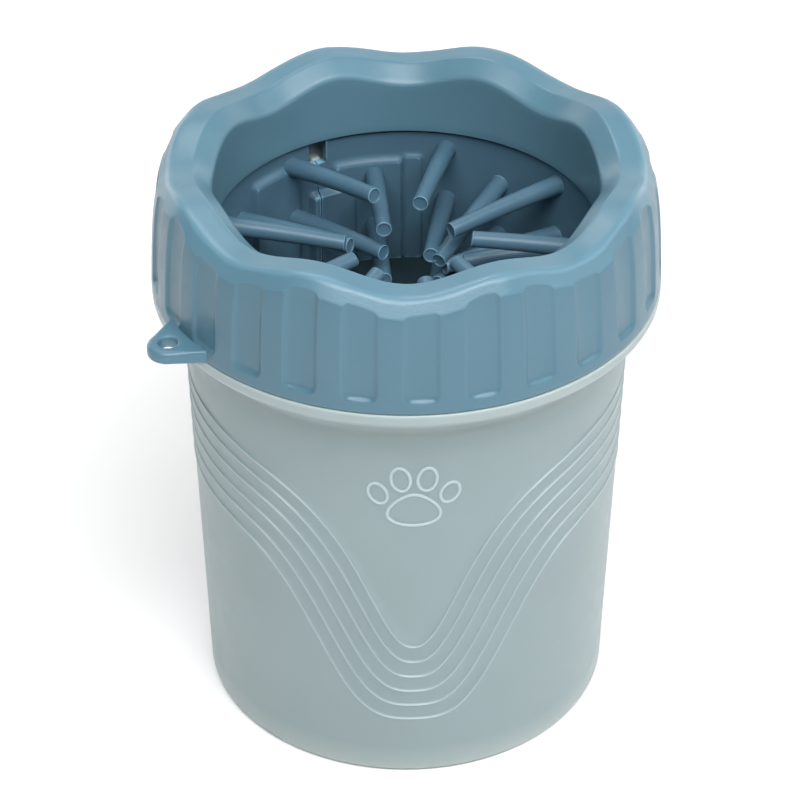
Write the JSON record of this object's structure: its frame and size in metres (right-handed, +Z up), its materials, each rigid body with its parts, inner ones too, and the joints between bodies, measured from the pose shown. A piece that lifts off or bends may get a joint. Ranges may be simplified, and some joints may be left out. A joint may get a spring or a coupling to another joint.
{
  "type": "paw washer cup",
  "caption": "Portable paw washing cup: frosted cup, wavy screw collar with a lanyard lug, and a rolled silicone sleeve of inward bristles.",
  "frame": {"origin": "centre of the cup's base, where it stands", "axes": "+Z up along the cup's axis, -Y towards the front, with the lanyard lug at the front left"},
  "size_m": [0.11, 0.11, 0.1334],
  "materials": {
    "cup_plastic": "frosted translucent polypropylene",
    "collar_plastic": "satin moulded polypropylene",
    "silicone": "satin silicone rubber"
  },
  "bodies": {
    "cup": {"cup": "cup_plastic"},
    "sleeve": {"bristle_sleeve": "silicone", "bristle_row_1": "silicone", "bristle_row_2": "silicone", "bristle_row_3": "silicone", "bristle_row_4": "silicone", "bristle_row_5": "silicone"},
    "collar": {"screw_collar": "collar_plastic", "lanyard_lug": "collar_plastic"}
  },
  "joints": [
    {"name": "sleeve_rise", "type": "slide", "parent": "cup", "child": "sleeve", "axis": [0, 0, 1], "range_m": [0, 0.005]},
    {"name": "collar_turn", "type": "hinge", "parent": "sleeve", "child": "collar", "pos_m": [0, 0, 0.105], "axis": [0, 0, 1], "range_deg": [0, 150]}
  ],
  "couplings": [
    {"joint": "sleeve_rise", "follows": "collar_turn", "m_per_rad": 0.0019099}
  ]
}
